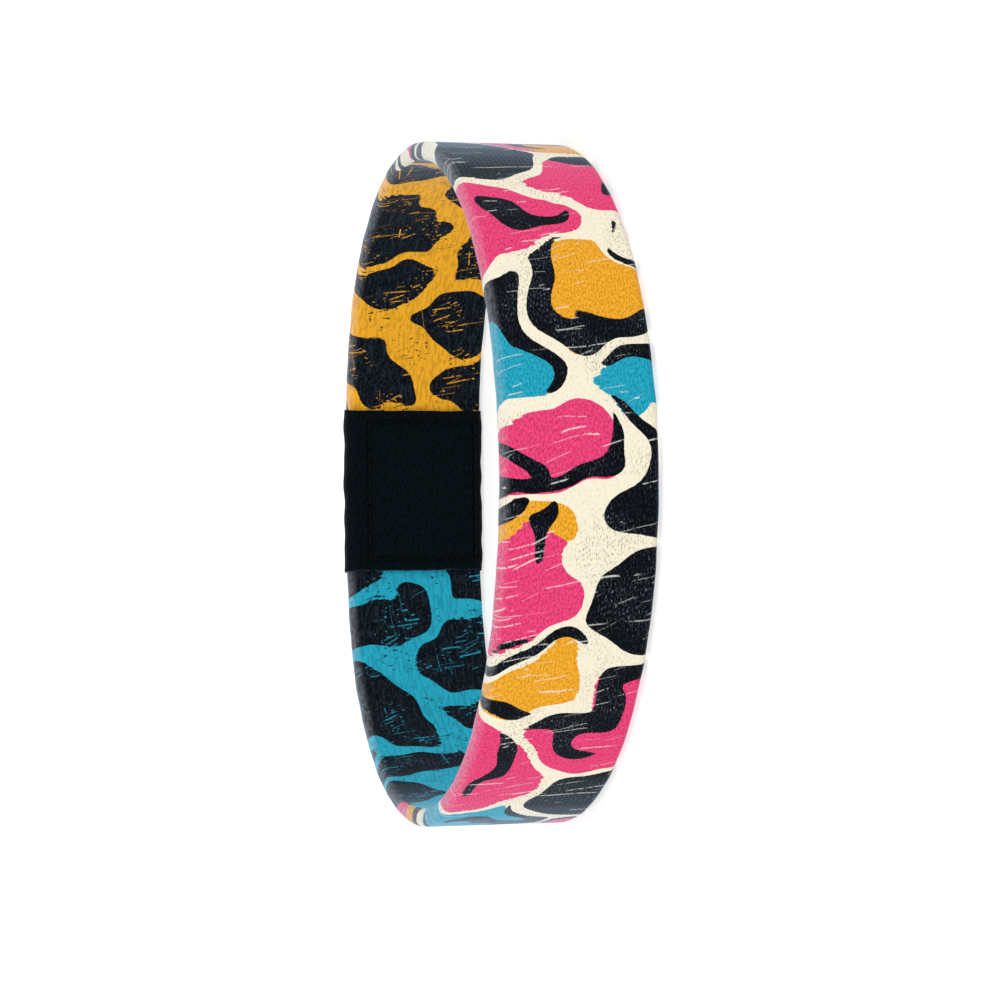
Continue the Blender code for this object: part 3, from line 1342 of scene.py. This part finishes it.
@dataclass
class SeamSleeve:
    """The cloth sleeve over the seam, a tube with a wall, whose outer skin is drawn in
    along the seam lines and at each needle hole.

    The mouth's waves move its ends, the puff's its faces, and the others its upper and
    lower rims. Drawn in is how far the rims lie under their plain form, as a share of
    their waver."""

    path: LoopPath
    width: float
    middle: float
    band: Section
    holes: np.ndarray
    lines: "StitchBox"
    mouth_rounding: float = 0.0002
    mouth_waver: float = 0.00004
    mouth_waves: SlowWaves = SlowWaves((3.1, 5.7), 9)
    puff: float = 0.00005
    puff_waves: SlowWaves = SlowWaves((4.0, 6.3, 9.1), 8)
    waver: float = 0.00011
    drawn_in: float = 0.6
    upper_waves: SlowWaves = SlowWaves((5.1, 8.7, 3.3), 6)
    lower_waves: SlowWaves = SlowWaves((4.4, 9.6, 2.9), 7)
    line_depth: float = 0.00009
    line_spread_mm: float = 0.3
    hole_depth: float = 0.00011
    hole_spread_mm: float = 0.2
    fray_mm: float = 0.16
    fray_depth: float = 0.15
    finish: SleeveTwill = field(default_factory=SleeveTwill)

    def build(self) -> bpy.types.Object:
        """Makes the sleeve.

        Its wall is a rounded rectangle in length and depth, walked round once, where
        depth mixes the outer section with the inner one. Its mouths waver by slow waves
        that die away from them as the sixth power of the length.

        Returns:
            The dressed piece.
        """
        steps = {"face_steps": 90, "inner_steps": 90, "corner_steps": 10, "rim_steps": 3}
        outer = Section(SLEEVE_THICKNESS, self.width, SLEEVE_CORNER, **steps)
        inner = Section(BAND_THICKNESS + 2 * CLOTH_CLEARANCE, self.band.width + 2 * CLOTH_CLEARANCE,
                        BAND_RIM_ROUNDING + CLOTH_CLEARANCE, **steps)
        wall = (SLEEVE_THICKNESS - inner.thickness) / 2
        walk = Section(wall, SLEEVE_LENGTH, self.mouth_rounding,
                       face_steps=110, inner_steps=16, corner_steps=4, rim_steps=2)
        depth = (0.5 - walk.out / wall)[:, None]
        lengths = walk.up
        out = outer.out * (1 - depth) + inner.out * depth
        up = outer.up * (1 - depth) + inner.up * depth
        raised = self._raised(lengths, outer) * (1 - depth)
        out = out + raised * outer.facing_out
        up = up + raised * outer.facing_up
        edge_waver = self.mouth_waves.height(outer.up / MM, self.path.length / MM) * self.mouth_waver
        pull = np.sign(lengths)[:, None] * (np.abs(lengths)[:, None] / (SLEEVE_LENGTH / 2)) ** 6
        rows = lengths[:, None] + edge_waver[None, :] * pull
        points = self.path.carry(rows, out, self.middle + up)
        uv = weave_places(walk.places, outer.places)
        grid = Grid(walk.count, outer.count, rows_close=True, columns_close=True)
        to_cut = np.abs(lengths - SLEEVE_LENGTH / 2)[:, None] / MM + np.abs(depth - self.fray_depth)
        cut_edge = np.broadcast_to(np.clip(1 - to_cut / self.fray_mm, 0, 1), (walk.count, outer.count))
        made = mesh_piece("sleeve_cloth", points, grid, uv, values={"cut_edge": cut_edge})
        made.data.materials.append(self.finish.material())
        return made

    def _raised(self, lengths: np.ndarray, outer: Section) -> np.ndarray:
        """How far the outer skin stands off its plain form: slow waves on the rims,
        which mostly draw them in, a soft puff between the seam lines, a groove of
        bell-shaped section along each line, and a bell-shaped dimple at each needle hole.

        Args:
            lengths: Where the rows lie along the loop.
            outer: The outer skin's section.

        Returns:
            The heights, as rows by columns.
        """
        along_mm = lengths[:, None] / MM
        up_mm = outer.up[None, :] / MM
        face = np.abs(outer.facing_out)[None, :] ** 4
        loop_mm = self.path.length / MM
        rims = np.where(outer.up > 0, self.upper_waves.height(along_mm, loop_mm),
                        self.lower_waves.height(along_mm, loop_mm))
        raised = (rims - self.drawn_in) * np.abs(outer.facing_up) * self.waver
        puffed = self.puff_waves.height(along_mm + 0.6 * up_mm, loop_mm)
        raised = raised + puffed * face * self.puff
        off_line = self.lines.distance_mm(along_mm, up_mm)
        raised = raised - face * self.line_depth * np.exp(-((off_line / self.line_spread_mm) ** 2))
        off_along = along_mm[..., None] - self.holes[:, 0] / MM
        off_up = up_mm[..., None] - self.holes[:, 1] / MM
        nearest = np.sqrt((off_along**2 + off_up**2).min(-1))
        return raised - face * self.hole_depth * np.exp(-((nearest / self.hole_spread_mm) ** 2))


@dataclass(frozen=True)
class StitchBox:
    """The rectangle of stitching on each face of the sleeve, through every layer."""

    sleeve_length: float
    sleeve_width: float
    end_inset: float = 0.0013
    upper_inset: float = 0.00245
    lower_inset: float = 0.0011
    stitch: float = 0.00145

    @property
    def half_length(self) -> float:
        """Half of the rectangle's length along the loop."""
        return self.sleeve_length / 2 - self.end_inset

    @property
    def upper(self) -> float:
        """The height of the upper line over the sleeve's middle."""
        return self.sleeve_width / 2 - self.upper_inset

    @property
    def lower(self) -> float:
        """The height of the lower line, less than 0."""
        return self.lower_inset - self.sleeve_width / 2

    def corners(self) -> np.ndarray:
        """The four corners in order, as lengths along and heights from the middle."""
        x = self.half_length
        return np.array([(-x, self.upper), (x, self.upper), (x, self.lower), (-x, self.lower)])

    def needle_holes(self) -> np.ndarray:
        """Spaces the needle holes evenly, a whole number of stitches to each side.

        Returns:
            The holes in order, as lengths along and heights from the middle.
        """
        corners = self.corners()
        sides = []
        for start, end in zip(corners, np.roll(corners, -1, axis=0)):
            count = round(np.linalg.norm(end - start) / self.stitch)
            shares = np.arange(count)[:, None] / count
            sides.append(start + (end - start) * shares)
        return np.concatenate(sides)

    def distance_mm(self, along_mm: np.ndarray, up_mm: np.ndarray) -> np.ndarray:
        """How far places are from the rectangle's lines: outside it the straight way to
        the nearest point, and inside it the way to the nearest side.

        Args:
            along_mm: Lengths from the seam.
            up_mm: Heights from the middle.

        Returns:
            The distances, in millimetres.
        """
        middle = (self.upper + self.lower) / 2 / MM
        half_height = (self.upper - self.lower) / 2 / MM
        past_x = np.abs(along_mm) - self.half_length / MM
        past_y = np.abs(up_mm - middle) - half_height
        outside = np.hypot(np.maximum(past_x, 0), np.maximum(past_y, 0))
        return np.abs(outside + np.minimum(np.maximum(past_x, past_y), 0))


@dataclass
class BoxStitching:
    """The thread of the stitch box, each stitch a short two-ply bar that rises from one
    needle hole and dips into the next, on both faces of the sleeve.

    The plies turn by ply_twist radians over a stitch. Lift and dip are how far the
    thread's middle line is over the cloth halfway and under it at the holes."""

    path: LoopPath
    middle: float
    holes: np.ndarray
    radius: float = 0.00012
    lift: float = 0.00004
    dip: float = 0.00022
    ply_swell: float = 0.14
    ply_twist: float = 9.0
    end_taper: float = 0.6
    rows: int = 15
    sides: int = 10
    finish: SewingThread = field(default_factory=SewingThread)

    def build(self) -> bpy.types.Object:
        """Makes every stitch and joins them.

        Returns:
            The dressed piece.
        """
        stitches = []
        for side in (1, -1):
            for start, end in zip(self.holes, np.roll(self.holes, -1, axis=0)):
                stitches.append(self._stitch(start, end, side))
        made = joined("box_stitching", stitches)
        made.data.materials.append(self.finish.material())
        return made

    def _stitch(self, start: np.ndarray, end: np.ndarray, side: int) -> bpy.types.Object:
        """One stitch between two holes.

        Its middle line runs straight between the holes, at a height that falls as the
        sixth power of the distance from the middle. Round it goes a circle whose radius
        swells twice a turn, as two twisted plies do, and narrows at both ends.

        Args:
            start: The first hole, as length along and height.
            end: The second hole.
            side: 1 for the outer face and -1 for the inner one.

        Returns:
            The stitch as a piece of its own.
        """
        share = np.linspace(0, 1, self.rows)
        span = end - start
        length = np.linalg.norm(span)
        across = np.array([-span[1], span[0]]) / length
        turns = np.linspace(0, FULL_TURN, self.sides, endpoint=False)
        from_middle = 2 * share - 1
        height = self.lift - (self.lift + self.dip) * from_middle**6
        plies = 1 + self.ply_swell * np.cos(2 * turns[None, :] + self.ply_twist * share[:, None])
        radius = self.radius * plies * np.sqrt(1 - self.end_taper * from_middle[:, None] ** 8)
        centre = start + span * share[:, None]
        flat = centre[:, None, :] + across * (radius * np.cos(turns))[..., None]
        lifted = height[:, None] + radius * np.sin(turns)
        out = side * (SLEEVE_THICKNESS / 2 + lifted)
        points = self.path.carry(flat[..., 0], out, self.middle + flat[..., 1])
        uv = weave_places(share * length, np.linspace(0, FULL_TURN * self.radius, self.sides + 1))
        grid = Grid(self.rows, self.sides, rows_close=False, columns_close=True)
        return mesh_piece("stitch", points, grid, uv, capped=True)


# The studio


def way_out(azimuth: float, elevation: float) -> Vector:
    """The direction from the loop at these angles, in radians, of which an azimuth of 0
    is -Y and a positive one turns towards +X."""
    level = math.cos(elevation)
    return Vector((math.sin(azimuth) * level, -math.cos(azimuth) * level, math.sin(elevation)))


@dataclass(frozen=True)
class PhotoCamera:
    """The camera at the photo's angle to the loop, above the floor. It is rolled onto
    its side, because the photo's upright loop lies down here."""

    azimuth: float = math.radians(-1.146)
    elevation: float = math.radians(15.66)
    roll: float = 0.0028
    distance: float = 0.30905
    aim_right: float = 0.001805
    aim_down: float = 0.001607
    lens_mm: float = 109.76
    sensor_mm: float = 36.0
    nearest: float = 0.01
    farthest: float = 20.0

    def build(self, centre: Vector) -> bpy.types.Object:
        """Makes the camera.

        Args:
            centre: The middle of the loop's round stretch.

        Returns:
            The camera.
        """
        back = way_out(self.azimuth, self.elevation)
        level = Vector((math.cos(self.azimuth), math.sin(self.azimuth), 0.0))
        sideways = level.cross(back)
        right = sideways * math.cos(self.roll) - level * math.sin(self.roll)
        up = sideways * math.sin(self.roll) + level * math.cos(self.roll)
        place = centre + right * self.aim_right - up * self.aim_down + back * self.distance
        data = bpy.data.cameras.new("photo_camera")
        data.lens = self.lens_mm
        data.sensor_width = self.sensor_mm
        data.clip_start = self.nearest
        data.clip_end = self.farthest
        camera = bpy.data.objects.new("photo_camera", data)
        bpy.context.scene.collection.objects.link(camera)
        turn = Matrix((right, up, back)).transposed().to_4x4()
        camera.matrix_world = Matrix.Translation(place) @ turn
        bpy.context.scene.camera = camera
        return camera


@dataclass(frozen=True)
class Softbox:
    """A square lamp that faces the loop. Its angles are in degrees."""

    name: str
    azimuth: float
    elevation: float
    distance: float
    size: float
    watts: float

    def build(self, centre: Vector) -> bpy.types.Object:
        """Makes the lamp.

        Args:
            centre: What it faces.

        Returns:
            The lamp.
        """
        away = way_out(math.radians(self.azimuth), math.radians(self.elevation))
        data = bpy.data.lights.new(self.name, "AREA")
        data.size = self.size
        data.energy = self.watts
        lamp = bpy.data.objects.new(self.name, data)
        lamp.location = centre + away * self.distance
        lamp.rotation_euler = away.to_track_quat("Z", "Y").to_euler()
        bpy.context.scene.collection.objects.link(lamp)
        return lamp


@dataclass(frozen=True)
class Studio:
    """A white floor that curves up far away on every side, under an even white sky and
    soft lamps."""

    sky: float = 0.72
    flat_radius: float = 1.2
    full_radius: float = 4.0
    rise: float = 1.6
    rings: int = 48
    spokes: int = 96
    hub_radius: float = 0.001
    ring_crowding: float = 1.6
    lamps: tuple[Softbox, ...] = (
        Softbox("overhead_softbox", -25.0, 76.0, 1.0, 0.7, 2.0),
        Softbox("front_softbox", -40.0, 32.0, 1.2, 0.8, 0.7),
        Softbox("side_softbox", 70.0, 28.0, 1.2, 0.8, 0.65),
    )

    def build(self, centre: Vector) -> None:
        """Makes the floor, the sky and the lamps.

        Args:
            centre: What the lamps face.
        """
        scene = bpy.context.scene
        scene.view_settings.view_transform = "Standard"
        world = bpy.data.worlds.new("even_sky")
        world.use_nodes = True
        world.node_tree.nodes["Background"].inputs["Color"].default_value = (1, 1, 1, 1)
        world.node_tree.nodes["Background"].inputs["Strength"].default_value = self.sky
        scene.world = world
        for lamp in self.lamps:
            lamp.build(centre)
        self._floor()

    def _floor(self) -> bpy.types.Object:
        """Makes the floor: rings whose height is 0 out to the flat radius, and from there
        grows as the square of the distance up to the full rise.

        Returns:
            The floor.
        """
        radii = np.linspace(0, 1, self.rings) ** self.ring_crowding * self.full_radius
        radii[0] = self.hub_radius
        turns = np.linspace(0, FULL_TURN, self.spokes, endpoint=False)
        past = np.maximum(radii - self.flat_radius, 0) / (self.full_radius - self.flat_radius)
        height = np.broadcast_to((self.rise * past**2)[:, None], (self.rings, self.spokes))
        x = radii[:, None] * np.cos(turns)
        y = radii[:, None] * np.sin(turns)
        points = np.stack([x, y, height], axis=-1).reshape(-1, 3)
        faces, _ = Grid(self.rings, self.spokes, rows_close=False, columns_close=True).faces()
        mesh = bpy.data.meshes.new("floor")
        mesh.from_pydata(points.tolist(), [], faces.tolist() + [list(range(self.spokes))])
        mesh.shade_smooth()
        floor = bpy.data.objects.new("floor", mesh)
        bpy.context.scene.collection.objects.link(floor)
        mesh.materials.append(StudioFloor().material())
        return floor


def main() -> None:
    """Builds the pieces in order, attaches each to the root and hides the imported part that it replaces."""
    logging.basicConfig(level=logging.INFO, format="%(name)s: %(message)s")
    band_low, band_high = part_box("elastic_band")
    sleeve_low, sleeve_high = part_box("seam_sleeve")
    radius = (band_high.x - band_low.x - BAND_THICKNESS) / 2
    middle = (band_low.z + band_high.z) / 2
    path = LoopPath(radius, band_low.y + BAND_THICKNESS / 2)
    round_centre = Vector((0.0, band_low.y + BAND_THICKNESS / 2 + radius, middle))

    PhotoCamera().build(round_centre)
    Studio().build(round_centre)

    webbing = Webbing(path, band_high.z - band_low.z, middle)
    band = webbing.build()
    sleeve_width = sleeve_high.z - sleeve_low.z
    box = StitchBox(SLEEVE_LENGTH, sleeve_width)
    holes = box.needle_holes()
    cloth = SeamSleeve(path, sleeve_width, middle, webbing.section(), holes, box).build()
    stitching = BoxStitching(path, middle, holes).build()

    for piece, node, slot in ((band, "elastic_band", "webbing"), (cloth, "seam_sleeve", "sleeve"),
                              (stitching, None, "sleeve")):
        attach(piece, "root")
        if node:
            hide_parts(node)
    LOG.info("loop %.1f mm round", path.length / MM)


if __name__ == "__main__":
    main()
